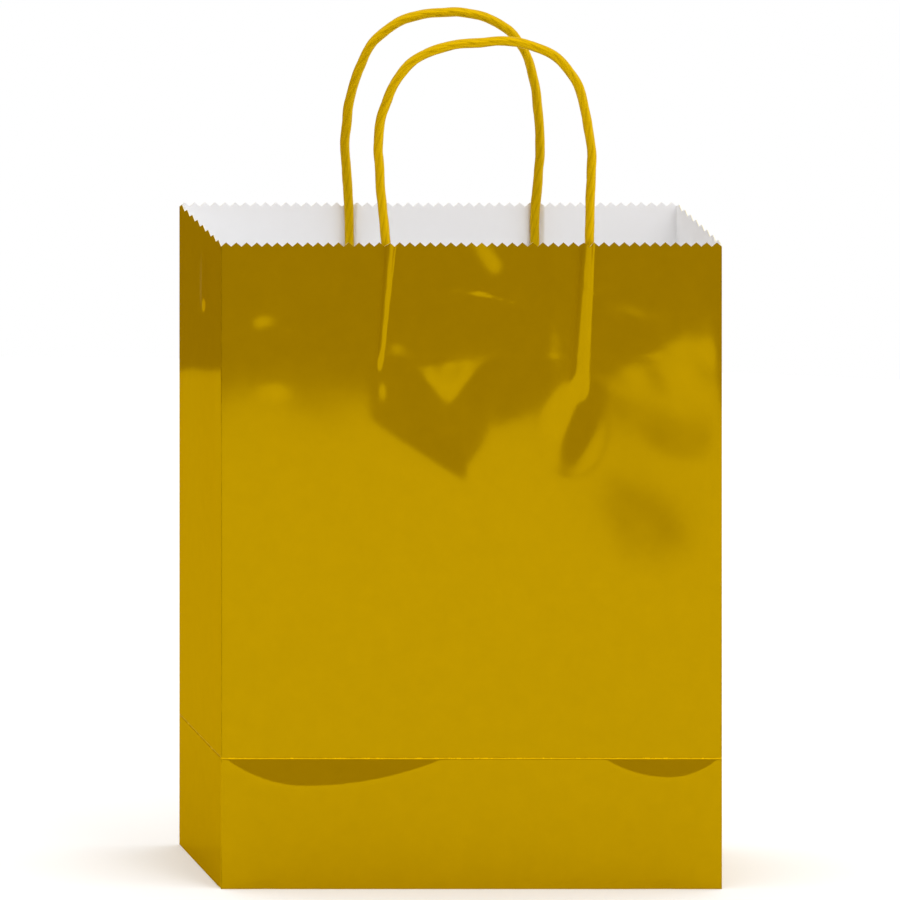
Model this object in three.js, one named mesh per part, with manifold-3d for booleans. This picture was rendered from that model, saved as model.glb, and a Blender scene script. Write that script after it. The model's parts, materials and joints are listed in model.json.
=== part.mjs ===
// A gusseted paper gift bag: four walls, a block bottom, and two cord handles.
// Millimetres. +Z is up, -Y is the front, and the origin is the middle of the underside.
// Every crease splits the sheet into stiff panels, so that the bag can fold flat.
import * as THREE from "three";
import { mergeVertices } from "three/addons/utils/BufferGeometryUtils.js";
import Module from "manifold-3d";

const wasm = await Module();
wasm.setup();

// Driving dimensions
const WIDTH = 203;
const DEPTH = 106;
const HEIGHT = 262;
const PAPER = 0.3;
const GAP = 0.3;
const CREASE_HEIGHT = DEPTH / 2;
const WALL_TEETH = 49;
const GUSSET_HALF_TEETH = 13;
const TOOTH_DEPTH = 1.7;
const CORD_DIAMETER = 3.9;
const CORD_LEG_DEPTH = 50;
const HINGE_RISE = 2.5;
const PATCH_WIDTH = 142;
const PATCH_HEIGHT = 28;
const PATCH_DROP = 18;
const PATCH_CENTRE_X = 6.4;
const SEAM_WIDTH = 14;
const SEAM_INSET = 5;
const FRONT_FLAP_DEPTH = 68.4;
const BACK_FLAP_DEPTH = 70;
const TUCK_REACH = 42;

// Routes of the two loops: x, and height above the rim. The back loop nests inside the front one.
const FRONT_LOOP = [
  [-36, HINGE_RISE], [-37.6, 25], [-38.2, 40], [-35.9, 53.5], [-30.4, 67.5], [-22.6, 76],
  [-11.8, 80.2], [2.2, 82.2], [16.1, 82.6], [26.2, 80.4], [37.1, 74.2], [43.8, 64.4],
  [47.6, 50.4], [49.4, 36.5], [49.2, 21], [48.8, HINGE_RISE],
];
const BACK_LOOP = [
  [-31.5, HINGE_RISE], [-32.9, 14], [-33.3, 29.6], [-31.6, 43.5], [-22.6, 66.8], [-10.2, 75],
  [10.7, 77.6], [23.9, 75.3], [33.8, 69.5], [40.4, 59], [43.7, 45], [44.7, 20],
  [44.3, HINGE_RISE],
];

// Sizes that follow from them
const HALF_WIDTH = WIDTH / 2;
const HALF_DEPTH = DEPTH / 2;
const FACE = HALF_DEPTH - PAPER;
const WALL_EDGE = FACE - GAP;
const SIDE_FACE = HALF_WIDTH - PAPER;
const CORD_RADIUS = CORD_DIAMETER / 2;
const OUTER_PATCH_FACE = FACE - GAP - PAPER;
const CORD_PLANE = OUTER_PATCH_FACE - GAP - CORD_RADIUS;
const HINGE_HEIGHT = HEIGHT + HINGE_RISE;

const goldPaper = new THREE.MeshStandardMaterial({ color: 0xb8940a, roughness: 0.32, metalness: 0.4 });
const whitePaper = new THREE.MeshStandardMaterial({ color: 0xf0f0ee, roughness: 0.75, metalness: 0 });
const goldCord = new THREE.MeshStandardMaterial({ color: 0xc8a010, roughness: 0.55, metalness: 0 });

const bag = new THREE.Group();

function add(name, geometry, material, parent = bag) {
  const mesh = new THREE.Mesh(geometry, material);
  mesh.name = name;
  parent.add(mesh);
  return mesh;
}

function extrude(shape, depth) {
  return new THREE.ExtrudeGeometry(shape, { depth, bevelEnabled: false, curveSegments: 12 });
}

// A panel from u0 to u1 whose top edge is pinked into equal teeth.
function pinkedPanel(u0, u1, bottom, teeth) {
  const shape = new THREE.Shape();
  const pitch = (u1 - u0) / teeth;
  shape.moveTo(u0, bottom);
  shape.lineTo(u1, bottom);
  shape.lineTo(u1, HEIGHT - TOOTH_DEPTH);
  for (let i = 0; i < teeth; i += 1) {
    shape.lineTo(u1 - (i + 0.5) * pitch, HEIGHT);
    shape.lineTo(u1 - (i + 1) * pitch, HEIGHT - TOOTH_DEPTH);
  }
  return extrude(shape, PAPER);
}

function rectangle(u0, u1, v0, v1) {
  const shape = new THREE.Shape();
  shape.moveTo(u0, v0);
  shape.lineTo(u1, v0);
  shape.lineTo(u1, v1);
  shape.lineTo(u0, v1);
  return shape;
}

// Stands a flat sheet up across the bag, with its far face at y.
function standAcross(mesh, y) {
  mesh.rotation.x = Math.PI / 2;
  mesh.position.y = y;
}

// Stands a flat sheet up from front to back, with its left face at x.
function standAlong(mesh, x) {
  mesh.rotation.set(Math.PI / 2, Math.PI / 2, 0);
  mesh.position.x = x;
}

function frontWall() {
  const upper = pinkedPanel(-HALF_WIDTH, HALF_WIDTH, CREASE_HEIGHT + GAP / 2, WALL_TEETH);
  const foot = extrude(rectangle(-HALF_WIDTH, HALF_WIDTH, 0, CREASE_HEIGHT - GAP / 2), PAPER);
  standAcross(add("front_panel", upper, goldPaper), -FACE);
  standAcross(add("front_foot_panel", foot, goldPaper), -FACE);
}

function backWall() {
  const upper = pinkedPanel(-HALF_WIDTH, HALF_WIDTH, CREASE_HEIGHT + GAP / 2, WALL_TEETH);
  const foot = extrude(rectangle(-HALF_WIDTH, HALF_WIDTH, 0, CREASE_HEIGHT - GAP / 2), PAPER);
  standAcross(add("back_panel", upper, goldPaper), HALF_DEPTH);
  standAcross(add("back_foot_panel", foot, goldPaper), HALF_DEPTH);
}

// One side: two halves above the crease, and the web that tucks in under it.
function gusset(side, leftFace) {
  const bottom = CREASE_HEIGHT + GAP / 2;
  const frontHalf = pinkedPanel(-WALL_EDGE, -GAP / 2, bottom, GUSSET_HALF_TEETH);
  const backHalf = pinkedPanel(GAP / 2, WALL_EDGE, bottom, GUSSET_HALF_TEETH);
  const web = extrude(rectangle(-WALL_EDGE, WALL_EDGE, PAPER + GAP, CREASE_HEIGHT - GAP / 2), PAPER);
  standAlong(add(`${side}_gusset_front_half`, frontHalf, goldPaper), leftFace);
  standAlong(add(`${side}_gusset_back_half`, backHalf, goldPaper), leftFace);
  standAlong(add(`${side}_gusset_foot_web`, web, goldPaper), leftFace);
}

// The glued lap that closes the sheet into a tube, inside the front wall's left edge.
function seam() {
  const left = SEAM_INSET - SIDE_FACE;
  const lap = rectangle(left, left + SEAM_WIDTH, CREASE_HEIGHT + 1, HEIGHT - 6);
  standAcross(add("side_seam_lap", extrude(lap, PAPER), whitePaper), PAPER - WALL_EDGE);
}

// The bottom: two side tucks inside, the back flap over them, and the front flap outermost.
function bottomFlaps() {
  const frontEnd = -WALL_EDGE + FRONT_FLAP_DEPTH;
  const frontFlap = extrude(rectangle(-HALF_WIDTH, HALF_WIDTH, -WALL_EDGE, frontEnd), PAPER);
  add("base_front_flap", frontFlap, goldPaper);

  const lift = PAPER + GAP;
  const rampTop = frontEnd + 0.6;
  const rampFoot = rampTop + 1.4;
  const section = new THREE.Shape();
  section.moveTo(WALL_EDGE, 0);
  section.lineTo(WALL_EDGE, PAPER);
  section.lineTo(rampFoot, PAPER);
  section.lineTo(rampTop, lift + PAPER);
  section.lineTo(WALL_EDGE - BACK_FLAP_DEPTH, lift + PAPER);
  section.lineTo(WALL_EDGE - BACK_FLAP_DEPTH, lift);
  section.lineTo(rampTop, lift);
  section.lineTo(rampFoot, 0);
  const backFlap = add("base_back_flap", extrude(section, 2 * (SIDE_FACE - GAP)), goldPaper);
  standAlong(backFlap, -SIDE_FACE + GAP);

  for (const [side, sign] of [["left", -1], ["right", 1]]) {
    const outer = sign * (SIDE_FACE - GAP);
    const inner = outer - sign * TUCK_REACH;
    const tuck = new THREE.Shape();
    tuck.moveTo(outer, -WALL_EDGE);
    tuck.lineTo(inner, -WALL_EDGE + TUCK_REACH);
    tuck.lineTo(inner, WALL_EDGE - TUCK_REACH);
    tuck.lineTo(outer, WALL_EDGE);
    add(`base_${side}_tuck`, extrude(tuck, PAPER), goldPaper).position.z = 2 * lift;
  }
}

// Section of the inner patch: flat strips that rise over both cord legs.
function humpedSection(legs) {
  const left = PATCH_CENTRE_X - PATCH_WIDTH / 2;
  const right = PATCH_CENTRE_X + PATCH_WIDTH / 2;
  const low = -CORD_RADIUS;
  const inner = CORD_RADIUS + GAP;
  const outer = inner + PAPER;
  const shape = new THREE.Shape();
  shape.moveTo(left, low);
  for (const x of legs) {
    shape.lineTo(x - inner, low);
    shape.absarc(x, 0, inner, Math.PI, 0, true);
    shape.lineTo(x + inner, low);
  }
  shape.lineTo(right, low);
  shape.lineTo(right, low + PAPER);
  for (const x of [...legs].reverse()) {
    shape.lineTo(x + outer, low + PAPER);
    shape.absarc(x, 0, outer, 0, Math.PI, false);
    shape.lineTo(x - outer, low + PAPER);
  }
  shape.lineTo(left, low + PAPER);
  return shape;
}

function mergedSolid(geometry) {
  const bare = geometry.clone();
  bare.deleteAttribute("normal");
  bare.deleteAttribute("uv");
  const merged = mergeVertices(bare, 1e-4);
  return new wasm.Manifold(new wasm.Mesh({
    numProp: 3,
    vertProperties: new Float32Array(merged.attributes.position.array),
    triVerts: new Uint32Array(merged.index.array),
  }));
}

function geometryOf(solid) {
  const mesh = solid.getMesh();
  const geometry = new THREE.BufferGeometry();
  geometry.setAttribute("position", new THREE.BufferAttribute(mesh.vertProperties, 3));
  geometry.setIndex(new THREE.BufferAttribute(mesh.triVerts, 1));
  geometry.computeVertexNormals();
  return geometry;
}

// The free loop of cord, with a ball at each end on the line that it bends about.
function loopGeometry(route) {
  const points = route.map(([x, rise]) => new THREE.Vector3(x, 0, HEIGHT + rise));
  const path = new THREE.CatmullRomCurve3(points, false, "centripetal");
  const section = new THREE.Shape();
  section.absarc(0, 0, CORD_RADIUS, 0, 2 * Math.PI, false);
  const tube = new THREE.ExtrudeGeometry(section, { steps: 60, curveSegments: 10, extrudePath: path });
  let solid = mergedSolid(tube);
  for (const end of [points[0], points[points.length - 1]]) {
    const ball = new THREE.SphereGeometry(CORD_RADIUS, 12, 8);
    ball.translate(end.x, end.y, end.z);
    solid = solid.add(mergedSolid(ball));
  }
  return geometryOf(solid);
}

// Handle parts of one wall, drawn for the front; the back wall's are mirrored by placing.
function handle(wall, route, sign) {
  const legs = [route[0][0], route[route.length - 1][0]];
  const patchTop = HEIGHT - PATCH_DROP;
  const patchLeft = PATCH_CENTRE_X - PATCH_WIDTH / 2;
  const plane = sign * CORD_PLANE;

  const flat = extrude(rectangle(patchLeft, patchLeft + PATCH_WIDTH, patchTop - PATCH_HEIGHT, patchTop), PAPER);
  const flatFace = sign > 0 ? OUTER_PATCH_FACE + PAPER : -OUTER_PATCH_FACE;
  standAcross(add(`${wall}_patch_backing`, flat, whitePaper), flatFace);

  const humped = extrude(humpedSection(legs), PATCH_HEIGHT);
  if (sign > 0) {
    humped.rotateX(Math.PI);
    humped.translate(0, 0, PATCH_HEIGHT);
  }
  add(`${wall}_patch_cover`, humped, whitePaper).position.set(0, plane, patchTop - PATCH_HEIGHT);

  const legTop = HINGE_HEIGHT - CORD_RADIUS - GAP;
  const legBottom = HEIGHT - CORD_LEG_DEPTH;
  const sides = ["left", "right"];
  legs.forEach((x, i) => {
    const leg = new THREE.CylinderGeometry(CORD_RADIUS, CORD_RADIUS, legTop - legBottom, 12);
    leg.rotateX(Math.PI / 2);
    const mesh = add(`${wall}_cord_${sides[i]}_leg`, leg, goldCord);
    mesh.position.set(x, plane, (legTop + legBottom) / 2);
  });

  add(`${wall}_handle`, loopGeometry(route), goldCord).position.y = plane;
}

frontWall();
backWall();
gusset("left", -HALF_WIDTH);
gusset("right", SIDE_FACE);
seam();
bottomFlaps();
handle("front", FRONT_LOOP, -1);
handle("back", BACK_LOOP, 1);

export default bag;
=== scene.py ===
"""A gold paper gift bag with pinked edges and two twisted-paper cord handles."""
import json
import math

import bmesh
import bpy
import numpy as np
from bpy.props import FloatProperty, FloatVectorProperty, IntProperty, PointerProperty
from mathutils import Matrix, Vector


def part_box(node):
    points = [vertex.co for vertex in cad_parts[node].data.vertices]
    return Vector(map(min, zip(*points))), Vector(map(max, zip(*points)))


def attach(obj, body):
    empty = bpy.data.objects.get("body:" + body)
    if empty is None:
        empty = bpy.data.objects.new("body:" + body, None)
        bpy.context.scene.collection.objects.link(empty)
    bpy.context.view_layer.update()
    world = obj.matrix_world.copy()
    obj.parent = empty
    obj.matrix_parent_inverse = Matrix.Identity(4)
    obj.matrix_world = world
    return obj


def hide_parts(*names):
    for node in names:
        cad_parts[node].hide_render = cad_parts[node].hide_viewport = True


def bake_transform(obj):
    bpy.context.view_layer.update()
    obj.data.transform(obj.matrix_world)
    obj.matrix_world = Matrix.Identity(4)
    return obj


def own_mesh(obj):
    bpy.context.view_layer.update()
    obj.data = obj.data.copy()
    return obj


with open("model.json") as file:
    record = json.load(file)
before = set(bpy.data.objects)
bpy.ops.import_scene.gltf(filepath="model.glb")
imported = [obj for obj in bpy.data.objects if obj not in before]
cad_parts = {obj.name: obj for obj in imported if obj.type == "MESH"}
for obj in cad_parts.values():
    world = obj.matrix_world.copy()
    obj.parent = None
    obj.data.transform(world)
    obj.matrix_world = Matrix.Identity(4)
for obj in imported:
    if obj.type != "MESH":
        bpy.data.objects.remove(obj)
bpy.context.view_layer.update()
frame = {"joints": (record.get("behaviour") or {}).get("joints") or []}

bl_info = {
    "name": "Paper Gift Bag",
    "version": (1, 0, 0),
    "blender": (4, 5, 0),
    "location": "View3D > Sidebar > Gift Bag",
    "description": "Builds a pinked paper gift bag with cord handles around its folding frame",
    "category": "Object",
}

MM = 0.001

# Places and sizes read from the frame, in millimetres.
WALL_LOW, WALL_HIGH = (np.array(corner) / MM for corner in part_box("front_panel"))
BACK_HIGH = np.array(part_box("back_panel")[1]) / MM
FOOT_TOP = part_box("front_foot_panel")[1][2] / MM
HALF_WIDTH = WALL_HIGH[0]
HALF_DEPTH = BACK_HIGH[1]
RIM = WALL_HIGH[2]
CREASE = (FOOT_TOP + WALL_LOW[2]) / 2
HINGES = {j["name"]: np.array(j["pos_m"]) / MM for j in frame["joints"] if "pos_m" in j}
HINGE_HEIGHT = HINGES["front_handle_bend"][2]
CORD_PLANE = -HINGES["front_handle_bend"][1]
PATCH_LOW, PATCH_HIGH = (np.array(corner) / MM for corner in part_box("front_patch_cover"))

# The table's radius and how steeply the front is looked down on: together they place the mirrored edge.
TABLE_RADIUS = 1310.0
LOOK_DOWN = math.radians(9.0)

# Edges of the sheet that turn more than this stay sharp.
CRISP_ANGLE = math.radians(35)

# How steeply the dents under the bottom crease lean back.
FRONT_DENT_SLOPE = 0.105
BACK_DENT_SLOPE = 0.078

# Half the width of the hump that a patch makes over a cord leg, in millimetres.
HUMP_REACH = 3.4

# Centre lines of the cords: x and height above the rim, in millimetres.
FRONT_ROUTE = [
    (-36.8, -44), (-36.0, -25), (-34.1, -4), (-34.6, 4), (-36.4, 24), (-37.3, 38), (-35.6, 51),
    (-29.6, 65.4), (-21.9, 73.9), (-11.4, 78.4), (2.2, 80.4), (16.2, 80.9), (26.4, 78.8),
    (36.8, 73.0), (43.3, 63.6), (47.1, 50.0), (49.1, 35.6), (48.8, 20), (48.4, 4),
    (48.2, -4), (46.6, -25), (45.4, -44),
]
BACK_ROUTE = [
    (-32.4, -44), (-32.6, -25), (-32.8, -4), (-33.3, 6), (-34.1, 17), (-34.1, 30.4), (-32.0, 43.8),
    (-28.2, 56), (-22.2, 66.8), (-10.2, 75.0), (10.4, 78.0), (24.0, 75.5), (33.6, 69.5),
    (40.2, 59), (43.6, 45), (45.0, 28), (44.4, 10), (43.1, -4), (43.2, -25), (43.5, -44),
]


class BagSizes(bpy.types.PropertyGroup):
    """Sizes of the sheet, its teeth and its cords"""

    paper: FloatProperty(
        name="Paper", description="Thickness of the laminated sheet", default=0.25 * MM,
        min=0.1 * MM, max=1 * MM, subtype="DISTANCE", precision=5)
    wall_teeth: IntProperty(
        name="Wall Teeth", description="Pinked teeth across the front and back walls", default=49, min=2)
    gusset_teeth: IntProperty(
        name="Gusset Teeth", description="Pinked teeth across half a gusset", default=4, min=2)
    tooth_depth: FloatProperty(
        name="Tooth Depth", description="Depth of a pinked tooth", default=1.7 * MM,
        min=0, max=5 * MM, subtype="DISTANCE", precision=5)
    cord: FloatProperty(
        name="Cord", description="Diameter of the twisted cord", default=3.9 * MM,
        min=1 * MM, max=10 * MM, subtype="DISTANCE", precision=5)
    plies: IntProperty(name="Plies", description="Strands twisted into the cord", default=5, min=2, max=8)
    lay_length: FloatProperty(
        name="Lay Length", description="Length of one full turn of a strand", default=42 * MM,
        min=5 * MM, max=80 * MM, subtype="DISTANCE", precision=5)


class BagColours(bpy.types.PropertyGroup):
    """Colours of the sheet and its cords"""

    gold: FloatVectorProperty(
        name="Gold", description="Printed and laminated outside", default=(0.44, 0.267, 0.0004),
        subtype="COLOR", min=0, max=1)
    inside: FloatVectorProperty(
        name="Inside", description="Uncoated inside of the sheet", default=(0.93, 0.935, 0.95),
        subtype="COLOR", min=0, max=1)
    cord: FloatVectorProperty(
        name="Cord", description="Dyed paper of the cords", default=(0.62, 0.385, 0.0006),
        subtype="COLOR", min=0, max=1)
    floor: FloatVectorProperty(
        name="Floor", description="Studio floor", default=(0.93, 0.93, 0.93), subtype="COLOR", min=0, max=1)


def sizes():
    return bpy.context.scene.bag_sizes


def colours():
    return bpy.context.scene.bag_colours


# Shader groups and materials


def new_group(name, inputs, outputs):
    """An empty shader group with named sockets, and its nodes."""
    group = bpy.data.node_groups.new(name, "ShaderNodeTree")
    for socket, kind, default in inputs:
        made = group.interface.new_socket(socket, in_out="INPUT", socket_type=kind)
        made.default_value = default
    for socket, kind in outputs:
        group.interface.new_socket(socket, in_out="OUTPUT", socket_type=kind)
    return group, group.nodes.new("NodeGroupInput"), group.nodes.new("NodeGroupOutput")


def add_noise(group, vector, scale, detail, roughness=0.5):
    node = group.nodes.new("ShaderNodeTexNoise")
    node.inputs["Detail"].default_value = detail
    node.inputs["Roughness"].default_value = roughness
    group.links.new(vector, node.inputs["Vector"])
    if isinstance(scale, (int, float)):
        node.inputs["Scale"].default_value = scale
    else:
        group.links.new(scale, node.inputs["Scale"])
    return node.outputs["Fac"]


def add_math(group, operation, first, second):
    node = group.nodes.new("ShaderNodeMath")
    node.operation = operation
    for socket, value in zip(node.inputs, (first, second)):
        if isinstance(value, (int, float)):
            socket.default_value = value
        else:
            group.links.new(value, socket)
    return node.outputs["Value"]


def add_mix(group, factor, first, second):
    node = group.nodes.new("ShaderNodeMix")
    node.data_type = "RGBA"
    sockets = (node.inputs["Factor"], node.inputs["A"], node.inputs["B"])
    for socket, value in zip(sockets, (factor, first, second)):
        if isinstance(value, bpy.types.NodeSocket):
            group.links.new(value, socket)
        else:
            socket.default_value = value
    return node.outputs["Result"]


def paper_grain_group():
    """Cloudy formation and fine fibre of paper: a height, and a mottle from 0 to 1."""
    if "paper_grain" in bpy.data.node_groups:
        return bpy.data.node_groups["paper_grain"]
    group, inside, outside = new_group(
        "paper_grain",
        [("Fibre Scale", "NodeSocketFloat", 1500.0), ("Cloud Scale", "NodeSocketFloat", 60.0)],
        [("Height", "NodeSocketFloat"), ("Mottle", "NodeSocketFloat")],
    )
    place = group.nodes.new("ShaderNodeTexCoord").outputs["Object"]
    fibre = add_noise(group, place, inside.outputs["Fibre Scale"], 3, 0.6)
    cloud = add_noise(group, place, inside.outputs["Cloud Scale"], 4, 0.55)
    fine = add_math(group, "MULTIPLY", fibre, 0.35)
    coarse = add_math(group, "MULTIPLY", cloud, 0.65)
    height = add_math(group, "ADD", fine, coarse)
    group.links.new(height, outside.inputs["Height"])
    group.links.new(cloud, outside.inputs["Mottle"])
    return group


def worn_fold_sheen_group():
    """Turns the fold mask stored on a mesh into a ragged mask along folds and cut edges, for rubbing and a
    painted highlight.
    """
    if "worn_fold_sheen" in bpy.data.node_groups:
        return bpy.data.node_groups["worn_fold_sheen"]
    group, inside, outside = new_group(
        "worn_fold_sheen",
        [("Wear", "NodeSocketFloat", 0.0), ("Break Up", "NodeSocketFloat", 300.0)],
        [("Mask", "NodeSocketFloat")],
    )
    place = group.nodes.new("ShaderNodeTexCoord").outputs["Object"]
    ragged = add_noise(group, place, inside.outputs["Break Up"], 4, 0.65)
    mask = group.nodes.new("ShaderNodeMapRange")
    mask.interpolation_type = "SMOOTHSTEP"
    mask.inputs["From Min"].default_value = 0.22
    mask.inputs["From Max"].default_value = 0.60
    group.links.new(add_math(group, "MULTIPLY", inside.outputs["Wear"], ragged), mask.inputs["Value"])
    group.links.new(mask.outputs["Result"], outside.inputs["Mask"])
    return group


def place_group(tree, group, **values):
    node = tree.nodes.new("ShaderNodeGroup")
    node.node_tree = group
    for name, value in values.items():
        socket = node.inputs[name.replace("_", " ")]
        if isinstance(value, bpy.types.NodeSocket):
            tree.links.new(value, socket)
        else:
            socket.default_value = value
    return node


def new_material(name, **constants):
    """A material with only a Principled shader, its constants set on the shader's own sockets."""
    material = bpy.data.materials.new(name)
    material.use_nodes = True
    shader = material.node_tree.nodes["Principled BSDF"]
    for socket, value in constants.items():
        shader.inputs[socket.replace("_", " ")].default_value = value
    return material, material.node_tree, shader


def add_bump(tree, shader, height, strength, distance):
    bump = tree.nodes.new("ShaderNodeBump")
    bump.inputs["Strength"].default_value = strength
    bump.inputs["Distance"].default_value = distance
    tree.links.new(height, bump.inputs["Height"])
    tree.links.new(bump.outputs["Normal"], shader.inputs["Normal"])


def rgba(colour, gain=1.0):
    return (*(min(1.0, channel * gain) for channel in colour), 1.0)


def gold_laminate():
    """Glossy gold laminate over printed paper, rougher where folds have rubbed and lighter there from a
    painted highlight.
    """
    if "gold_laminate" in bpy.data.materials:
        return bpy.data.materials["gold_laminate"]
    gold = colours().gold
    material, tree, shader = new_material(
        "gold_laminate", Metallic=0.48, Specular_IOR_Level=0.0, Specular_Tint=(0.70, 0.49, 0.004, 1.0))
    grain = place_group(tree, paper_grain_group(), Fibre_Scale=2600.0, Cloud_Scale=160.0)
    wear_and_sheen = tree.nodes.new("ShaderNodeAttribute")
    wear_and_sheen.attribute_name = "wear_and_sheen"
    rub_and_sheen = place_group(tree, worn_fold_sheen_group(), Wear=wear_and_sheen.outputs["Fac"], Break_Up=260.0)
    mottled = add_mix(tree, grain.outputs["Mottle"], rgba(gold, 0.955), rgba(gold, 1.05))
    # Painted highlight: the gold is made lighter along the folds, on the same mask that roughens them where
    # rubbed.
    rub_and_sheen_colour = add_mix(tree, rub_and_sheen.outputs["Mask"], mottled, rgba(gold, 1.4))
    tree.links.new(rub_and_sheen_colour, shader.inputs["Base Color"])
    rough = add_math(tree, "ADD", add_math(tree, "MULTIPLY", grain.outputs["Mottle"], 0.02), 0.045)
    tree.links.new(add_math(tree, "ADD", rough, add_math(tree, "MULTIPLY", rub_and_sheen.outputs["Mask"], 0.25)),
                   shader.inputs["Roughness"])
    add_bump(tree, shader, grain.outputs["Height"], 0.2, 0.00002)
    return material


def uncoated_inside():
    """Matt uncoated inside of the sheet."""
    if "uncoated_inside" in bpy.data.materials:
        return bpy.data.materials["uncoated_inside"]
    inside = colours().inside
    material, tree, shader = new_material("uncoated_inside", Specular_IOR_Level=0.25)
    grain = place_group(tree, paper_grain_group(), Fibre_Scale=1800.0, Cloud_Scale=80.0)
    tree.links.new(add_mix(tree, grain.outputs["Mottle"], rgba(inside, 0.985), rgba(inside, 1.01)),
                   shader.inputs["Base Color"])
    rough = add_math(tree, "ADD", add_math(tree, "MULTIPLY", grain.outputs["Mottle"], 0.15), 0.7)
    tree.links.new(rough, shader.inputs["Roughness"])
    add_bump(tree, shader, grain.outputs["Height"], 0.5, 0.0001)
    return material


def cut_edge():
    """The pale core that shows where the sheet was pinked."""
    if "cut_edge" in bpy.data.materials:
        return bpy.data.materials["cut_edge"]
    material, tree, shader = new_material("cut_edge", Specular_IOR_Level=0.2, Roughness=0.85)
    grain = place_group(tree, paper_grain_group(), Fibre_Scale=3000.0, Cloud_Scale=900.0)
    tree.links.new(add_mix(tree, grain.outputs["Mottle"], (0.70, 0.62, 0.30, 1), (0.88, 0.84, 0.66, 1)),
                   shader.inputs["Base Color"])
    add_bump(tree, shader, grain.outputs["Height"], 0.6, 0.0001)
    return material


def cord_paper():
    """Dyed paper twisted hard: satin on the strands, with painted shade darkening the dye in the grooves
    between them.
    """
    if "cord_paper" in bpy.data.materials:
        return bpy.data.materials["cord_paper"]
    dye = colours().cord
    material, tree, shader = new_material(
        "cord_paper", Specular_IOR_Level=0.15, Specular_Tint=(1.0, 0.8, 0.05, 1.0), Metallic=0.35)
    grain = place_group(tree, paper_grain_group(), Fibre_Scale=2200.0, Cloud_Scale=420.0)
    groove_and_shade = tree.nodes.new("ShaderNodeAttribute")
    groove_and_shade.attribute_name = "groove_and_shade"
    mottled = add_mix(tree, grain.outputs["Mottle"], rgba(dye, 0.94), rgba(dye, 1.08))
    # Painted shade: the dye is darkened in the grooves between the strands.
    shaded = add_mix(tree, groove_and_shade.outputs["Fac"], mottled, rgba(dye, 0.62))
    tree.links.new(shaded, shader.inputs["Base Color"])
    rough = add_math(tree, "ADD", add_math(tree, "MULTIPLY", grain.outputs["Mottle"], 0.1), 0.36)
    tree.links.new(rough, shader.inputs["Roughness"])
    add_bump(tree, shader, grain.outputs["Height"], 0.06, 0.0001)
    return material


def floor_material():
    """A pale matt table whose colour is darkened slightly towards its far edge: painted shade standing in for
    light falling off there.
    """
    material, tree, shader = new_material("pale_floor", Roughness=0.9, Specular_IOR_Level=0.0)
    floor = colours().floor
    place = tree.nodes.new("ShaderNodeTexCoord").outputs["Object"]
    distance = tree.nodes.new("ShaderNodeVectorMath")
    distance.operation = "LENGTH"
    tree.links.new(place, distance.inputs[0])
    edge = tree.nodes.new("ShaderNodeMapRange")
    edge.inputs["From Min"].default_value = 1.1
    edge.inputs["From Max"].default_value = 1.35
    tree.links.new(distance.outputs["Value"], edge.inputs["Value"])
    # Painted shade: the floor colour darkens by a few percent towards the far edge.
    edge_painted_shade = add_mix(tree, edge.outputs["Result"], rgba(floor), rgba(floor, 0.94))
    tree.links.new(edge_painted_shade, shader.inputs["Base Color"])
    return material


# Mesh helpers


def grid_faces(rows, columns, start=0, flip=False):
    """Quads over a grid of points stored row by row."""
    first = start + np.arange(rows - 1)[:, None] * columns + np.arange(columns - 1)[None, :]
    quads = np.stack([first, first + 1, first + columns + 1, first + columns], axis=-1).reshape(-1, 4)
    return quads[:, ::-1] if flip else quads


def new_object(name, points, faces, materials, face_slots=None, smooth=True, attributes=None):
    """A mesh object from points in millimetres."""
    mesh = bpy.data.meshes.new(name)
    mesh.from_pydata((np.asarray(points) * MM).tolist(), [], [list(map(int, face)) for face in faces])
    for material in materials:
        mesh.materials.append(material)
    if face_slots is not None:
        mesh.polygons.foreach_set("material_index", np.asarray(face_slots, dtype=np.int32))
    if smooth:
        mesh.polygons.foreach_set("use_smooth", np.ones(len(mesh.polygons), dtype=bool))
    for key, values in (attributes or {}).items():
        layer = mesh.attributes.new(key, "FLOAT", "POINT")
        layer.data.foreach_set("value", np.asarray(values, dtype=np.float32))
    mesh.validate()
    mesh.update()
    piece = bpy.data.objects.new(name, mesh)
    bpy.context.scene.collection.objects.link(piece)
    return piece


def outline_of(rows, columns):
    """Indices of the points round the border of a grid, once round."""
    return np.concatenate([
        np.arange(columns), np.arange(1, rows) * columns + columns - 1,
        np.arange(columns - 2, -1, -1) + (rows - 1) * columns, np.arange(rows - 2, 0, -1) * columns])


def sheet_object(name, outer, inward, wear_and_sheen, pinked):
    """A thin sheet: gold outer grid and white inner grid, gold at its folds and pale where it is pinked.

    outer is a grid of points seen from outside with columns running left to right and rows upward.
    """
    rows, columns = outer.shape[:2]
    count = rows * columns
    inner = outer + np.asarray(inward) * sizes().paper / MM
    rim = outline_of(rows, columns)
    sheet = np.concatenate([outer.reshape(-1, 3), inner.reshape(-1, 3)])
    points = np.concatenate([sheet, sheet[rim], sheet[rim + count]])
    start = 2 * count
    index = np.arange(len(rim))
    after = np.roll(index, -1)
    edge = start + np.stack([index, len(rim) + index, len(rim) + after, after], axis=-1)
    faces = np.concatenate([grid_faces(rows, columns), grid_faces(rows, columns, count, True), edge])
    quads = (rows - 1) * (columns - 1)
    cut = (rim >= count - columns) & (np.roll(rim, -1) >= count - columns) & pinked
    slots = np.concatenate([np.repeat([0, 1], quads), np.where(cut, 2, 0)])
    # The fold mask marks rubbed folds and where their painted highlight goes.
    rub_and_sheen = wear_and_sheen.ravel()
    rub_and_sheen = np.concatenate([rub_and_sheen, rub_and_sheen, rub_and_sheen[rim], rub_and_sheen[rim]])
    piece = new_object(name, points, faces, [gold_laminate(), uncoated_inside(), cut_edge()], slots,
                       attributes={"wear_and_sheen": rub_and_sheen})
    weld_edges(piece)
    return piece


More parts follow.
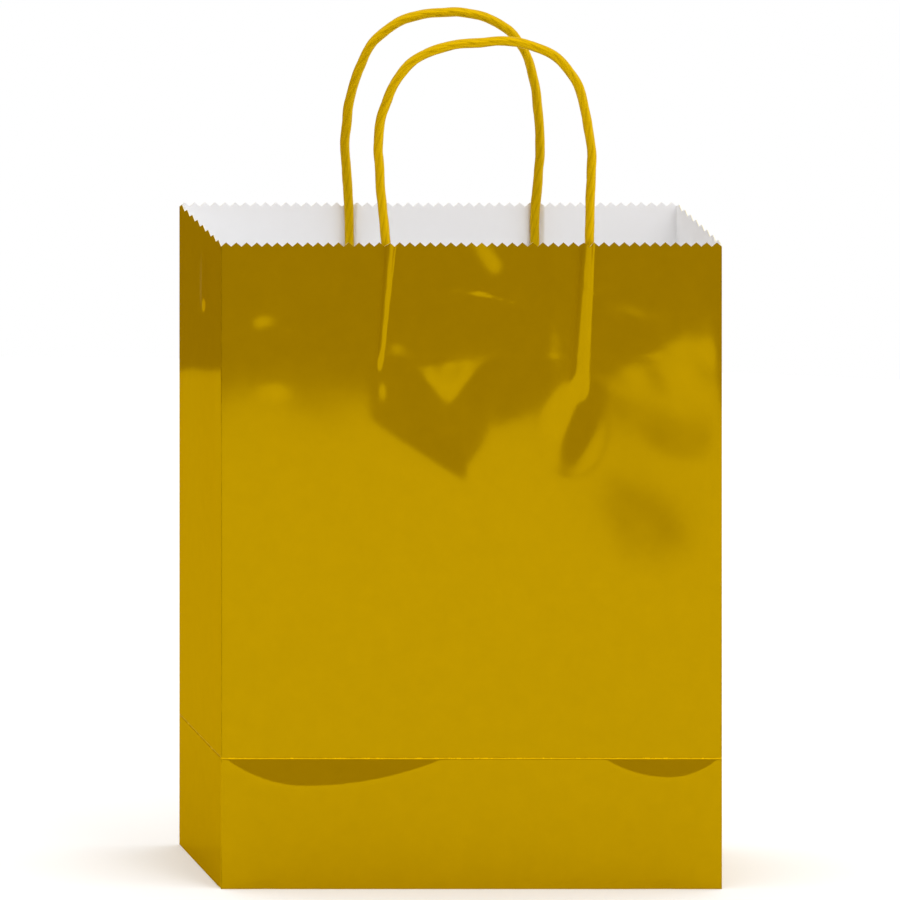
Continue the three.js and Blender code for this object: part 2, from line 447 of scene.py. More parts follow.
def weld_edges(piece):
    """Joins the cut edge to both faces, so the sheet is one closed body with crisp corners."""
    work = bmesh.new()
    work.from_mesh(piece.data)
    bmesh.ops.remove_doubles(work, verts=work.verts, dist=1e-7)
    for edge in work.edges:
        edge.smooth = edge.calc_face_angle(0.0) < CRISP_ANGLE
    work.to_mesh(piece.data)
    work.free()


def bell(distance, width):
    """A smooth hump, 1 at the middle and near 0 at twice the width."""
    return np.exp(-(distance / width) ** 2)


def flat_bell(distance):
    """A flat-topped hump, 1 in the middle and near 0 at 1.3."""
    return np.exp(-distance**4)


def soft_step(value, width):
    """0 well below zero and 1 well above it, over about two widths."""
    return 0.5 * (1 + np.tanh(value / width))


def along_line(x, z, start, end):
    """Distance from a line and how far along it, from 0 at start to 1 at end."""
    start = np.array(start, float)
    line = np.array(end, float) - start
    length = np.hypot(*line)
    along = ((x - start[0]) * line[0] + (z - start[1]) * line[1]) / length**2
    across = ((x - start[0]) * line[1] - (z - start[1]) * line[0]) / length
    return across, along


def inside_edges(x, z, edges, softness):
    """1 to the left of every directed edge and 0 outside, over about the softness."""
    mask = np.ones_like(x, dtype=float)
    for start, end in edges:
        mask = mask * soft_step(-along_line(x, z, start, end)[0], softness)
    return mask


def ridge(x, z, start, end, height, width, taper=0.12):
    """A long low ridge between two points, fading out at both ends."""
    across, along = along_line(x, z, start, end)
    ends = soft_step(along, taper) * soft_step(1 - along, taper)
    return height * bell(across, width) * ends


def waves(x, z, seed, length, count=5):
    """Smooth repeatable unevenness between about -1 and 1."""
    random = np.random.default_rng(seed)
    total = np.zeros_like(x, dtype=float)
    for _ in range(count):
        angle = random.uniform(0, math.pi)
        pitch = length * random.uniform(0.7, 1.6)
        phase = random.uniform(0, 2 * math.pi)
        total += np.sin(2 * math.pi * (x * math.cos(angle) + z * math.sin(angle)) / pitch + phase)
    return total / count


def from_slope(slope, z, free_end=True):
    """Height whose rise up each column is the slope, starting at zero.

    The far end ends where it likes, or is brought back to zero by an even tilt.
    """
    step = np.diff(z, axis=0)
    rise = np.concatenate([np.zeros((1, z.shape[1])), np.cumsum((slope[1:] + slope[:-1]) / 2 * step, axis=0)])
    if free_end:
        return rise
    return rise - rise[-1:] * (z - z[:1]) / (z[-1:] - z[:1])


# The folded sheet


def wall_columns(half_span, teeth, per_tooth, legs=()):
    """Column places across a panel: on every tip and valley, and close in at folds and cord legs."""
    even = np.linspace(-half_span, half_span, teeth * per_tooth + 1)
    close = np.array([0.12, 0.3, 0.6])
    beside = [leg + np.arange(-5.2, 5.3, 0.4) for leg in legs]
    return np.unique(np.concatenate([even, -half_span + close, half_span - close, *beside]).round(4))


def upper_rows(columns, half_span, teeth, spacing):
    """Heights above the crease, whose last rows turn gradually into the pinked edge."""
    depth = sizes().tooth_depth / MM
    above = np.arange(0.8 + spacing, RIM - CREASE - 3 * depth, spacing)
    base = np.concatenate([[0, 0.15, 0.4, 0.8], above]) + CREASE
    pitch = 2 * half_span / teeth
    phase = ((columns + half_span) / pitch) % 1.0
    pinked = RIM - depth * np.abs(2 * phase - 1)
    straight = RIM - 3 * depth
    shares = [0, 0.4, 0.75, 1]
    rows = [np.full_like(columns, z) for z in base if z < straight - spacing / 3]
    rows += [straight + (pinked - straight) * share for share in shares]
    return np.array(rows)


def fold_round(across, half_span):
    """How far the sheet turns in at the two folds that bound it."""
    radius = 0.15
    near = np.clip(half_span - np.abs(across), 0, radius)
    return radius - np.sqrt(radius**2 - (radius - near) ** 2)


def crease_round(z, radius=0.5):
    near = np.clip(np.abs(z - CREASE), 0, radius)
    return 0.35 * (radius - np.sqrt(radius**2 - (radius - near) ** 2))


def fold_wear_and_sheen(across, z, half_span):
    """How rubbed the sheet is and how strong the painted highlight on its folds: most on the bottom crease,
    hardly at all on the upright folds.
    """
    upright = 0.12 * bell(half_span - np.abs(across), 0.5)
    bottom = 0.95 * bell(z - CREASE, 0.55)
    return np.clip(upright + bottom, 0, 1)


def brink(z):
    """The lean at which the wall stops mirroring the table and mirrors the dim room beyond it."""
    return (LOOK_DOWN - np.arctan(z / (TABLE_RADIUS - HALF_DEPTH))) / 2


def front_upper_relief(x, z):
    """Buckles of the front wall above the crease, outward, in millimetres."""
    border = 1 - bell(HALF_WIDTH - np.abs(x), 3)
    slope = 0.0010 * waves(x, z, 11, 120) + 0.0020 * waves(x, z, 5, 34)
    # A fan of buckles hangs below the handle patch: two leaning-back arms around a lifted facet.
    left_arm = inside_edges(x, z, (((-42, 191), (-6, 166)), ((-1, 160), (-1, 215))), 2.2)
    left_arm = left_arm * soft_step(x + 41, 2.2)
    steep = inside_edges(x, z, (((-7, 162), (11, 189)),), 3.0)
    gentle = inside_edges(x, z, (((5, 184), (34, 204)),), 5.0)
    right_arm = np.maximum(steep * soft_step(9 - x, 4), gentle * soft_step(x - 7, 4))
    right_arm *= soft_step(x + 4, 2.0) * soft_step(33 - x, 3.0)
    arms = np.maximum(left_arm, right_arm) * soft_step(PATCH_LOW[2] - 2 - z, 2)
    slope -= (np.clip(brink(z), 0, None) * 1.06 + 0.006) * arms
    edges = (((-25.5, 214), (-9.3, 196.2)), ((-9.3, 196.2), (5, 213)), ((14, 217.6), (-6, 214.6)),
             ((-6, 214.6), (-26, 214.5)))
    slope += 0.0145 * inside_edges(x, z, edges, 1.2) * (1 + 0.3 * waves(x, z, 31, 9))
    # Small dimples that catch the light in the upper part.
    across, along = along_line(x, z, (1.0, 265), (12.0, 248.5))
    blotch = 0.9 + 0.25 * waves(x, z, 37, 12)
    slope += 0.029 * bell(across + 0.3, 8.6 - 2.6 * np.clip(along, 0, 1)) * soft_step(1 - along, 0.16)
    slope += 0.012 * soft_step(x - 72, 12) * soft_step(z - 214, 7) * blotch
    dimples = ((-84, 230, 7.0, 4.4, 0.019), (-80, 201, 5.5, 3.0, 0.012), (-36, 202, 1.8, 4.0, 0.016),
               (-30, 219, 4.5, 2.6, 0.013), (34, 221, 3.6, 10.0, 0.0135))
    for px, pz, wide, tall, rise in dimples:
        slope += rise * blotch * bell(np.hypot((x - px) / wide, (z - pz) / tall), 1)
    # Lifted and leaning facets to the right of the handle leg.
    edges = (((49, 205), (101, 190)), ((101, 228), (80, 220)), ((80, 220), (49, 211)))
    mottled = waves(x, z, 29, 15)
    slope += (0.009 + 0.006 * mottled) * inside_edges(x, z, edges, 4.2) * soft_step(x - 49, 1.5)
    facet = flat_bell(np.hypot((x - 64) / 14, (z - 235 + 0.22 * (x - 64)) / 4))
    slope += 0.014 * facet * soft_step(mottled + 0.5, 0.5)
    lean = 1.01 * bell(np.hypot((x - 70 + 0.25 * (z - 150)) / 34, (z - 148) / 33) ** 1.6, 1)
    lean = np.maximum(lean, 0.97 * flat_bell(np.hypot((x - 86) / 19, (z - 184) / 14)))
    slope -= brink(z) * lean * (1 + 0.05 * mottled)
    # The teardrop dimple at the foot of the right leg: one lobe lifted, one leaning back.
    across, along = along_line(x, z, (50.8, 202), (38.0, 171))
    slope -= 0.017 * bell(np.hypot(across / 5.4, (along - 0.53) / 0.55) ** 1.5, 1)
    slope += 0.014 * flat_bell(np.hypot((x - 35.5 - 0.35 * (z - 193)) / 5.5, (z - 193) / 12))
    rim_of_drop = np.hypot((x - 41) / 14.5, (z - 187) / 20)
    slope -= 0.004 * bell((rim_of_drop - 1) * 16, 1.4) * soft_step(188 - z, 5)
    # Thin creases that catch the light.
    for start, end, rise in (((-11, 242.8), (7, 240.8), 0.037), ((2, 241.4), (23, 236.2), 0.034),
                             ((48, 240.6), (57, 244.4), 0.037), ((-76, 226.3), (-66, 225.4), 0.022)):
        slope += ridge(x, z, start, end, rise, 0.62, 0.18)
    relief = from_slope(slope * border, z)
    relief += leg_ridge(x, z, (-32.6, 264), (-37.0, 214), 1.8, 0.9, 0.8)
    relief += leg_ridge(x, z, (47.2, 264), (43.9, 203), 2.2, 3.2, 1.0)
    return relief + patch_emboss(x, z)


def leg_ridge(x, z, top, bottom, top_width, bottom_width, height):
    """The ridge that a cord leg presses into the wall, standing out more towards the rim."""
    across, along = along_line(x, z, top, bottom)
    down = np.clip(along, 0, 1)
    width = top_width + (bottom_width - top_width) * down
    rise = height * (0.45 + 1.3 * (1 - down) ** 1.5)
    return rise * flat_bell(across / width) * soft_step(1 - along, 0.05)


def patch_emboss(x, z):
    """The faint outline that the glued patch presses through the wall."""
    inside = soft_step(x - PATCH_LOW[0], 0.7) * soft_step(PATCH_HIGH[0] - x, 0.7)
    inside *= soft_step(z - PATCH_LOW[2], 0.7) * soft_step(PATCH_HIGH[2] - z, 0.7)
    return 0.008 * inside


def creased_dent(across, drop, ends, deepest, depth):
    """1 inside a lens-shaped dent that hangs from the crease, highest at its deepest place."""
    left, right = ends
    from_left, from_right = (across - left) / (deepest - left), (right - across) / (right - deepest)
    share = np.where(across < deepest, from_left, from_right)
    lens = depth * np.clip(1 - (1 - share) ** 2, 0, 1) * (share > 0)
    return soft_step(lens - drop, 0.8) * soft_step(lens - 0.9, 0.5)


def front_foot_relief(x, z):
    """Dents under the bottom crease and along the foot of the front wall."""
    slope = 0.003 * waves(x, z, 23, 80)
    drop = CREASE - z
    slope -= FRONT_DENT_SLOPE * creased_dent(x, drop, (-100.5, -10), -68, 12.4)
    slope -= FRONT_DENT_SLOPE * creased_dent(x, drop, (53, 101), 80, 8.6)
    relief = from_slope(slope, z, free_end=False)
    for px in (-84, 78):
        relief -= 0.35 * bell(x - px, 5) * bell(z, 2.5)
    return relief


def gusset_upper_relief(y, z):
    """Buckles of a gusset above the crease; y runs front to back."""
    border = 1 - bell(HALF_DEPTH - np.abs(y), 6)
    slope = 0.002 * waves(y, z, 41, 60)
    # A slanting dimple whose rise the sheet gives back above it, so that the rim stays straight.
    slope += 0.122 * bell(np.hypot((y + 10 + 0.9 * (z - 230)) / 6, (z - 230) / 4), 1)
    slope -= 0.0465 * bell(np.hypot((y + 10) / 7, (z - 248) / 9), 1)
    return from_slope(slope * border, z)


def gusset_foot_relief(y, z):
    """The faint diagonal folds of the block bottom; y runs front to back."""
    relief = from_slope(0.003 * waves(y, z, 57, 50), z, free_end=False)
    reach = HALF_DEPTH - np.abs(y)
    diagonal = 0.05 * bell((z - reach) / math.sqrt(2), 1.2)
    return relief - diagonal * soft_step(CREASE - 1 - z, 2) * soft_step(z - 2, 2)


def panel_piece(name, body, across, z, relief, place, inward, half_span, nodes):
    """One stiff panel of the sheet, riding on its body."""
    out = relief(across, z) - fold_round(across, half_span) - crease_round(z)
    pinked = z.max() > CREASE + 1
    piece = sheet_object(name, place(across, z, out), inward, fold_wear_and_sheen(across, z, half_span), pinked)
    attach(piece, body)
    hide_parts(*nodes)
    return piece


def front_place(across, z, out):
    return np.stack([across, -HALF_DEPTH - out, z], axis=-1)


def back_place(across, z, out):
    return np.stack([-across, HALF_DEPTH + out, z], axis=-1)


def left_place(across, z, out):
    return np.stack([-HALF_WIDTH - out, -across, z], axis=-1)


def right_place(across, z, out):
    return np.stack([HALF_WIDTH + out, across, z], axis=-1)


def foot_grid(columns, spacing):
    """Points from the floor to the crease, with rows close together just under the crease."""
    close = [CREASE - 0.8, CREASE - 0.4, CREASE - 0.15, CREASE]
    return np.meshgrid(columns, np.concatenate([np.arange(0, CREASE - 1, spacing), close]))


def build_front_walls():
    teeth = sizes().wall_teeth
    columns = wall_columns(HALF_WIDTH, teeth, 4, (-34.5, 45.5))
    z = upper_rows(columns, HALF_WIDTH, teeth, 1.15)
    x = np.broadcast_to(columns, z.shape)
    panel_piece("front_wall", "front", x, z, front_upper_relief, front_place, (0, 1, 0), HALF_WIDTH,
                ["front_panel"])
    x, z = foot_grid(columns, 1.15)
    panel_piece("front_wall_foot", "foot", x, z, front_foot_relief, front_place, (0, 1, 0), HALF_WIDTH,
                ["front_foot_panel"])


def back_upper_relief(x, z):
    """Buckles of the back wall above the crease, seen from behind."""
    slope = 0.0015 * waves(x, z, 71, 110) + 0.0012 * waves(x, z, 73, 40)
    arm = inside_edges(x, z, (((-30, 188), (6, 170)), ((6, 170), (30, 196))), 2.2)
    slope -= 0.022 * (arm * soft_step(PATCH_LOW[2] - 2 - z, 2))
    across, along = along_line(x, z, (-47, 203), (-36, 176))
    slope -= 0.032 * bell(across, 4.2) * soft_step(along, 0.08) * soft_step(1 - along, 0.06)
    relief = from_slope(slope * (1 - bell(HALF_WIDTH - np.abs(x), 9)), z)
    relief += leg_ridge(x, z, (31.4, 264), (32.2, 212), 1.9, 1.0, 0.75)
    relief += leg_ridge(x, z, (-44.2, 264), (-43.8, 206), 2.2, 2.9, 0.95)
    return relief + patch_emboss(-x, z)


def back_foot_relief(x, z):
    """Dents under the bottom crease of the back wall, seen from behind."""
    slope = 0.003 * waves(x, z, 83, 70)
    drop = CREASE - z
    slope -= BACK_DENT_SLOPE * creased_dent(x, drop, (-95, -30), -70, 7.0)
    slope -= BACK_DENT_SLOPE * creased_dent(x, drop, (10, 98), 66, 10.5)
    return from_slope(slope, z, free_end=False)


def build_back_walls():
    teeth = sizes().wall_teeth
    columns = wall_columns(HALF_WIDTH, teeth, 2, (-44.0, 32.0))
    z = upper_rows(columns, HALF_WIDTH, teeth, 2.0)
    x = np.broadcast_to(columns, z.shape)
    panel_piece("back_wall", "back", x, z, back_upper_relief, back_place, (0, -1, 0), HALF_WIDTH,
                ["back_panel"])
    x, z = foot_grid(columns, 2.0)
    panel_piece("back_wall_foot", "back", x, z, back_foot_relief, back_place, (0, -1, 0), HALF_WIDTH,
                ["back_foot_panel"])


def build_gussets():
    """Both gussets: two folding halves above the crease and the web below it."""
    teeth = 2 * sizes().gusset_teeth
    columns = wall_columns(HALF_DEPTH, teeth, 6)
    z = upper_rows(columns, HALF_DEPTH, teeth, 2.0)
    foot_across, foot_z = foot_grid(columns, 2.0)
    across = np.broadcast_to(columns, z.shape)
    middle = len(columns) // 2
    left_part, right_part = slice(None, middle + 1), slice(middle, None)
    for side, place, inward, front_part, back_part, facing in (
            ("left", left_place, (1, 0, 0), right_part, left_part, -1),
            ("right", right_place, (-1, 0, 0), left_part, right_part, 1)):

        def upper(across, z):
            return gusset_upper_relief(facing * across, z)

        def foot(across, z):
            return gusset_foot_relief(facing * across, z)

        for half, part in (("front", front_part), ("back", back_part)):
            panel_piece(f"{side}_gusset_{half}", f"{side}_{half}_gusset", across[:, part], z[:, part],
                        upper, place, inward, HALF_DEPTH, [f"{side}_gusset_{half}_half"])
        web = panel_piece(f"{side}_gusset_foot", "base", foot_across, foot_z, foot, place, inward,
                          HALF_DEPTH, [f"{side}_gusset_foot_web"])
        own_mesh(web)


def flap_object(name, outline, low, body, nodes):
    """A flat flap of the bottom from an outline in x and y, printed underneath and white above."""
    work = bmesh.new()
    under = [work.verts.new((x * MM, y * MM, low * MM)) for x, y in outline]
    over = [work.verts.new(v.co + Vector((0, 0, sizes().paper))) for v in under]
    work.faces.new(under[::-1])
    work.faces.new(over).material_index = 1
    for i in range(len(under)):
        j = (i + 1) % len(under)
        work.faces.new((under[i], under[j], over[j], over[i])).material_index = 2
    bmesh.ops.recalc_face_normals(work, faces=work.faces)
    mesh = bpy.data.meshes.new(name)
    work.to_mesh(mesh)
    work.free()
    for material in (gold_laminate(), uncoated_inside(), cut_edge()):
        mesh.materials.append(material)
    piece = bpy.data.objects.new(name, mesh)
    bpy.context.scene.collection.objects.link(piece)
    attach(piece, body)
    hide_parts(*nodes)


def build_bottom():
    """The block bottom: two tucks inside, the back flap over them and the front flap outermost."""
    for name in ("base_front_flap", "base_back_flap", "base_left_tuck", "base_right_tuck"):
        low, high = (np.array(corner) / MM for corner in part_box(name))
        if name.endswith("tuck"):
            sign = -1 if "left" in name else 1
            outer = high[0] if sign > 0 else low[0]
            reach = high[0] - low[0]
            inner = outer - sign * reach
            outline = [(outer, low[1]), (inner, low[1] + reach), (inner, high[1] - reach), (outer, high[1])]
        else:
            outline = [(low[0], low[1]), (high[0], low[1]), (high[0], high[1]), (low[0], high[1])]
        height = high[2] - sizes().paper / MM if name == "base_back_flap" else low[2]
        flap_object(name.replace("base_", "bottom_"), outline, height, "base", [name])


def build_seam():
    """The lap that closes the sheet into a tube, glued flat inside the front wall."""
    low, high = (np.array(corner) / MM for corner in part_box("side_seam_lap"))
    x, z = np.meshgrid(np.linspace(low[0], high[0], 9), np.linspace(low[2], high[2], 60))
    y = low[1] + 0.05 * (1 + waves(x, z, 97, 30)) - np.interp(z, [high[2] - 8, high[2]], [0, 0.1])
    piece = white_sheet("side_seam", np.stack([x, y, z], axis=-1), (0, 1, 0))
    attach(piece, "front")
    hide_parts("side_seam_lap")


def white_sheet(name, outer, inward):
    """A plain white sheet from a grid of points."""
    rows, columns = outer.shape[:2]
    count = rows * columns
    inner = outer + np.asarray(inward) * sizes().paper / MM
    rim = outline_of(rows, columns)
    after = np.roll(rim, -1)
    edge = np.stack([rim, rim + count, after + count, after], axis=-1)
    faces = np.concatenate([grid_faces(rows, columns), grid_faces(rows, columns, count, True), edge])
    points = np.concatenate([outer.reshape(-1, 3), inner.reshape(-1, 3)])
    piece = new_object(name, points, faces, [uncoated_inside()])
    return piece


def leg_line(z, end):
    """Where a cord leg lies across the wall at each height, from the route's points nearest its end."""
    across, rise = zip(*end)
    return np.interp(z - RIM, rise, across)


def build_patches():
    """On each wall a paper patch that holds the cord legs, rising over both of them."""
    walls = (("front", -1, FRONT_ROUTE, front_upper_relief), ("back", 1, BACK_ROUTE, back_upper_relief))
    for wall, sign, route, wall_relief in walls:
        low, high = (np.array(corner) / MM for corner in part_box(f"{wall}_patch_cover"))
        beside = [route[place][0] + np.linspace(-4, 4, 17) for place in (1, -2)]
        columns = np.unique(np.concatenate([np.linspace(low[0], high[0], 60), *beside]))
        x, z = np.meshgrid(columns, np.linspace(low[2], high[2], 24))
        across, up_wall = np.meshgrid(columns, np.linspace(CREASE, high[2], 120))
        bulge = wall_relief(-sign * across, up_wall)
        relief = np.stack(
            [np.interp(z[:, i], up_wall[:, i], bulge[:, i]) for i in range(len(columns))], axis=-1)
        flat = HALF_DEPTH + relief - 1.6 * sizes().paper / MM
        legs = [leg_line(z, end) for end in (route[:3], route[:-4:-1])]
        humps = sum(np.sqrt(np.clip(1 - ((x - leg) / HUMP_REACH) ** 2, 0, 1)) for leg in legs)
        over_cord = CORD_PLANE - sizes().cord / MM / 2 - 0.15
        y = sign * (flat - (flat - over_cord) * np.clip(humps, 0, 1))
        grid = np.stack([x, y, z], axis=-1)
        grid = grid[:, ::-1] if sign > 0 else grid
        piece = white_sheet(f"{wall}_patch", grid, (0, -sign, 0))
        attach(piece, wall)
        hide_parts(f"{wall}_patch_cover", f"{wall}_patch_backing")


# Cords


def smooth_path(route, plane, spacing=0.7):
    """Evenly spaced points along a centripetal Catmull-Rom curve through the route."""
    points = np.array([(x, plane, RIM + rise) for x, rise in route], float)
    ends = [2 * points[0] - points[1], 2 * points[-1] - points[-2]]
    points = np.concatenate([ends[:1], points, ends[1:]])
    fine = []
    for p0, p1, p2, p3 in zip(points, points[1:], points[2:], points[3:]):
        t = np.cumsum([0] + [math.sqrt(np.linalg.norm(b - a)) for a, b in ((p0, p1), (p1, p2), (p2, p3))])
        for s in np.linspace(t[1], t[2], 24, endpoint=False):
            a1 = (t[1] - s) / (t[1] - t[0]) * p0 + (s - t[0]) / (t[1] - t[0]) * p1
            a2 = (t[2] - s) / (t[2] - t[1]) * p1 + (s - t[1]) / (t[2] - t[1]) * p2
            a3 = (t[3] - s) / (t[3] - t[2]) * p2 + (s - t[2]) / (t[3] - t[2]) * p3
            b1 = (t[2] - s) / (t[2] - t[0]) * a1 + (s - t[0]) / (t[2] - t[0]) * a2
            b2 = (t[3] - s) / (t[3] - t[1]) * a2 + (s - t[1]) / (t[3] - t[1]) * a3
            fine.append((t[2] - s) / (t[2] - t[1]) * b1 + (s - t[1]) / (t[2] - t[1]) * b2)
    fine = np.array(fine + [points[-2]])
    length = np.concatenate([[0], np.cumsum(np.linalg.norm(np.diff(fine, axis=0), axis=1))])
    places = np.linspace(0, length[-1], int(length[-1] / spacing) + 1)
    return places, np.stack([np.interp(places, length, fine[:, axis]) for axis in range(3)], axis=-1)


def cord_piece(name, wall, handle, route, plane, seed):
    """A hard-twisted paper cord along the route: strands lie round it with grooves between them."""
    places, centre = smooth_path(route, plane)
    # Above its bend the free loop wanders a little from side to side and up and down.
    free = soft_step(centre[:, 2] - HINGE_HEIGHT - 8, 3)
    centre[:, 0] += 0.4 * free * waves(places, 0 * places, seed + 5, 13)
    centre[:, 2] += 0.3 * free * waves(places, 0 * places, seed + 6, 12)
    tangent = np.gradient(centre, places, axis=0)
    tangent /= np.linalg.norm(tangent, axis=1)[:, None]
    side = np.broadcast_to(np.array([0.0, 1.0, 0.0]), tangent.shape)
    up = np.cross(tangent, side)
    around = np.linspace(0, 2 * math.pi, 40, endpoint=False)
    s, angle = np.meshgrid(places, around, indexing="ij")
    lay = 2 * math.pi * s / (sizes().lay_length / MM)
    drift = 0.6 * waves(s, 0 * s, seed, 60)
    strand = np.abs(np.sin(sizes().plies / 2 * (angle - lay + drift)))
    groove_and_shade = (1 - strand) ** 3
    thick = 0.975 + 0.06 * waves(s, 0 * s, seed + 1, 13) + 0.012 * waves(s, angle * 2, seed + 2, 5)
    flat = 1 + 0.05 * np.sin(2 * angle - lay / 3 + seed) * waves(s, 0 * s, seed + 3, 35)
    radius = sizes().cord / MM / 2 * thick * flat * (1.01 - 0.10 * groove_and_shade)
    points = (centre[:, None, :] + radius[..., None] * (
        np.cos(angle)[..., None] * side[:, None, :] + np.sin(angle)[..., None] * up[:, None, :]))
    rows, columns = s.shape
    first = np.arange(rows - 1)[:, None] * columns + np.arange(columns)[None, :]
    second = np.arange(rows - 1)[:, None] * columns + (np.arange(columns)[None, :] + 1) % columns
    quads = np.stack([first, first + columns, second + columns, second], axis=-1).reshape(-1, 4)
    caps = [list(range(columns)), list(range(rows * columns - 1, (rows - 1) * columns - 1, -1))]
    # The groove shape also goes to the material as the mask of the painted shade in the grooves.
    piece = new_object(name, points.reshape(-1, 3), [*quads.tolist(), *caps], [cord_paper()],
                       attributes={"groove_and_shade": 0.6 * groove_and_shade.ravel()})
    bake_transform(piece)
    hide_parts(handle, f"{wall}_cord_left_leg", f"{wall}_cord_right_leg")


def build_cords():
    cord_piece("front_cord", "front", "front_handle", FRONT_ROUTE, -CORD_PLANE, 3)
    cord_piece("back_cord", "back", "back_handle", BACK_ROUTE, CORD_PLANE, 13)


# Stage


def build_camera():
    """A view camera, its film held parallel to the front wall, that looks from slightly left and above.

    The slanting line of sight is carried by the mount that holds the camera.
    """
    azimuth, elevation = math.radians(-9.46), LOOK_DOWN
    distance = 15.0
    frame_width = 364.67 * MM
    target = Vector((-8.7 * MM, -HALF_DEPTH * MM, 177.9 * MM))
    back = Vector((math.sin(azimuth) * math.cos(elevation), -math.cos(azimuth) * math.cos(elevation),
                   math.sin(elevation)))
    data = bpy.data.cameras.new("camera")
    data.sensor_width = 36
    data.clip_end = 100
    data.lens = data.sensor_width * distance / frame_width
    camera = bpy.data.objects.new("camera", data)
    mount = bpy.data.objects.new("camera_mount", None)
    for item in (mount, camera):
        bpy.context.scene.collection.objects.link(item)
    camera.parent = mount
    across, up = Vector((1, 0, 0)), Vector((0, 0, 1))
    view = Matrix((across, up, back)).transposed().to_4x4()
    view.translation = target + back * distance
    camera.matrix_parent_inverse = view
    bpy.context.scene.camera = camera


def build_floor():
    """A round pale table that ends far from the bag, so that the upper walls mirror the dim room beyond."""
    ring = np.linspace(0, 2 * math.pi, 128, endpoint=False)
    below = np.full_like(ring, -0.05)
    points = np.stack([TABLE_RADIUS * np.cos(ring), TABLE_RADIUS * np.sin(ring), below], axis=-1)
    floor = new_object("floor", points, [list(range(len(ring)))], [floor_material()], smooth=False)


def build_world():
    """A bright dome and right side over a warm dim horizon, with plain white behind for the camera."""
    dim_horizon, bright_sky = (0.31, 0.20, 0.10, 1), (1.36, 1.36, 1.36, 1)
    world = bpy.data.worlds.new("studio")
    world.use_nodes = True
    tree = world.node_tree
    tree.nodes.clear()
    direction = tree.nodes.new("ShaderNodeTexCoord").outputs["Generated"]
    split = tree.nodes.new("ShaderNodeSeparateXYZ")
    tree.links.new(direction, split.inputs["Vector"])
    shares = []
    for value, low, high in ((split.outputs["Z"], 0.22, 0.50), (split.outputs["X"], 0.42, 0.62)):
        share = tree.nodes.new("ShaderNodeMapRange")
        share.interpolation_type = "SMOOTHSTEP"
        share.inputs["From Min"].default_value = low
        share.inputs["From Max"].default_value = high
        tree.links.new(value, share.inputs["Value"])
        shares.append(share.outputs["Result"])
    bright = add_math(tree, "MAXIMUM", *shares)
    dome = tree.nodes.new("ShaderNodeBackground")
    tree.links.new(add_mix(tree, bright, dim_horizon, bright_sky), dome.inputs["Color"])
    plain = tree.nodes.new("ShaderNodeBackground")
    plain.inputs["Color"].default_value = (1, 1, 1, 1)
    path = tree.nodes.new("ShaderNodeLightPath")
    mix = tree.nodes.new("ShaderNodeMixShader")
    tree.links.new(path.outputs["Is Camera Ray"], mix.inputs["Fac"])
    tree.links.new(dome.outputs["Background"], mix.inputs[1])
    tree.links.new(plain.outputs["Background"], mix.inputs[2])
    output = tree.nodes.new("ShaderNodeOutputWorld")
    tree.links.new(mix.outputs["Shader"], output.inputs["Surface"])
    bpy.context.scene.world = world


def area_light(name, place, aim, size, power):
    data = bpy.data.lights.new(name, "AREA")
    data.shape = "DISK"
    data.size = size
    data.energy = power
    light = bpy.data.objects.new(name, data)
    light.location = place
    light.rotation_euler = (Vector(aim) - Vector(place)).to_track_quat("-Z", "Y").to_euler()
    bpy.context.scene.collection.objects.link(light)


def build_lights():
    """One large soft key, far enough away to light the table evenly."""
    area_light("key_light", place=(1.6, -4.4, 4.6), aim=(0, 0, 0.15), size=2.4, power=45)


class BAG_OT_camera(bpy.types.Operator):
    """Place the camera"""

    bl_idname = "bag.camera"
    bl_label = "Camera"

    def execute(self, context):
        build_camera()
        return {"FINISHED"}


class BAG_OT_cords(bpy.types.Operator):
    """Make both twisted cord handles"""

    bl_idname = "bag.cords"
    bl_label = "Cord Handles"

    def execute(self, context):
        build_cords()
        return {"FINISHED"}


class BAG_OT_front(bpy.types.Operator):
    """Make the front wall above and below the bottom crease, and its glued seam"""

    bl_idname = "bag.front"
    bl_label = "Front Wall"

    def execute(self, context):
        build_front_walls()
        build_seam()
        return {"FINISHED"}


class BAG_OT_back(bpy.types.Operator):
    """Make the back wall above and below the bottom crease"""

    bl_idname = "bag.back"
    bl_label = "Back Wall"

    def execute(self, context):
        build_back_walls()
        return {"FINISHED"}


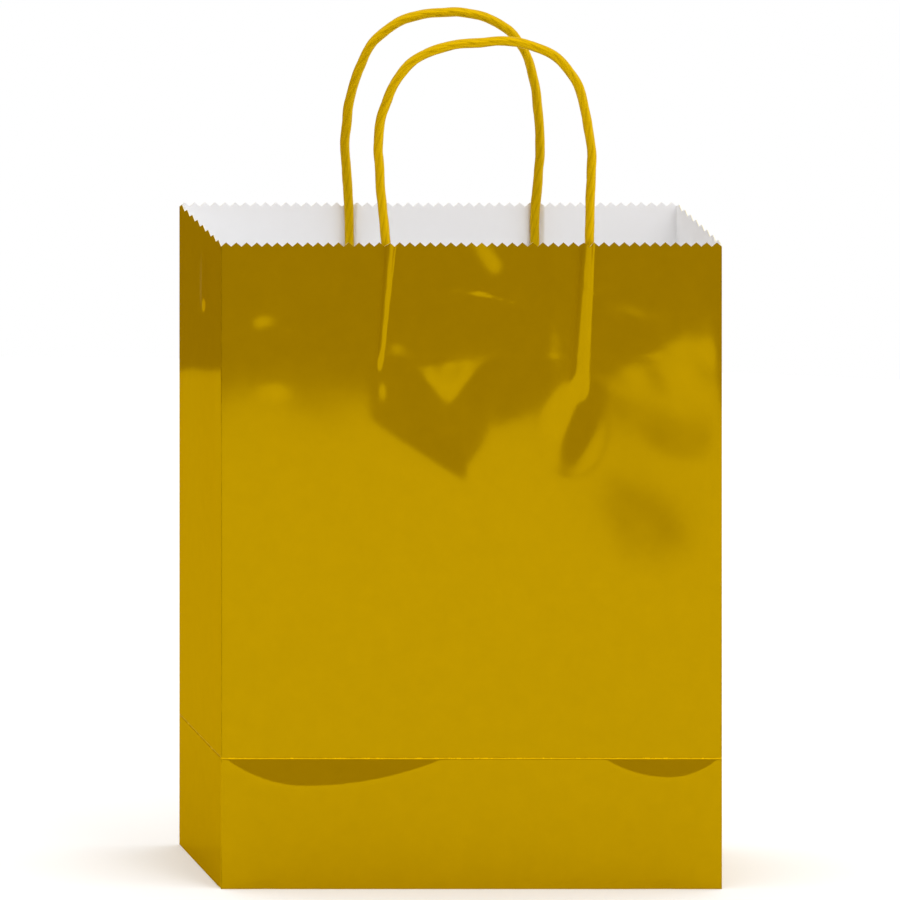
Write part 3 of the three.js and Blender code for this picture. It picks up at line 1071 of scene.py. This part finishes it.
class BAG_OT_gussets(bpy.types.Operator):
    """Make both gussets in their folding halves, and the webs below the crease"""

    bl_idname = "bag.gussets"
    bl_label = "Gussets"

    def execute(self, context):
        build_gussets()
        return {"FINISHED"}


class BAG_OT_bottom(bpy.types.Operator):
    """Make the flaps of the block bottom"""

    bl_idname = "bag.bottom"
    bl_label = "Bottom Flaps"

    def execute(self, context):
        build_bottom()
        return {"FINISHED"}


class BAG_OT_patches(bpy.types.Operator):
    """Make the paper patches that hold the cord legs"""

    bl_idname = "bag.patches"
    bl_label = "Handle Patches"

    def execute(self, context):
        build_patches()
        return {"FINISHED"}


class BAG_OT_stage(bpy.types.Operator):
    """Make the floor, the world and the lights"""

    bl_idname = "bag.stage"
    bl_label = "Stage"

    def execute(self, context):
        build_floor()
        build_world()
        build_lights()
        bpy.context.scene.view_settings.view_transform = "Standard"
        return {"FINISHED"}


OPERATORS = (
    BAG_OT_camera, BAG_OT_cords, BAG_OT_front, BAG_OT_back, BAG_OT_gussets, BAG_OT_bottom, BAG_OT_patches,
    BAG_OT_stage,
)


class BAG_PT_panel(bpy.types.Panel):
    """Buttons that build the bag piece by piece"""

    bl_idname = "BAG_PT_panel"
    bl_label = "Gift Bag"
    bl_space_type = "VIEW_3D"
    bl_region_type = "UI"
    bl_category = "Gift Bag"

    def draw(self, context):
        for settings in (context.scene.bag_sizes, context.scene.bag_colours):
            for name in settings.__annotations__:
                self.layout.prop(settings, name)
        for operator in OPERATORS:
            self.layout.operator(operator.bl_idname)


CLASSES = (BagSizes, BagColours, *OPERATORS, BAG_PT_panel)


def register():
    for cls in CLASSES:
        bpy.utils.register_class(cls)
    bpy.types.Scene.bag_sizes = PointerProperty(type=BagSizes)
    bpy.types.Scene.bag_colours = PointerProperty(type=BagColours)


def unregister():
    del bpy.types.Scene.bag_colours
    del bpy.types.Scene.bag_sizes
    for cls in reversed(CLASSES):
        bpy.utils.unregister_class(cls)


def main():
    register()
    for operator in OPERATORS:
        group, name = operator.bl_idname.split(".")
        getattr(getattr(bpy.ops, group), name)()


if __name__ == "__main__":
    main()
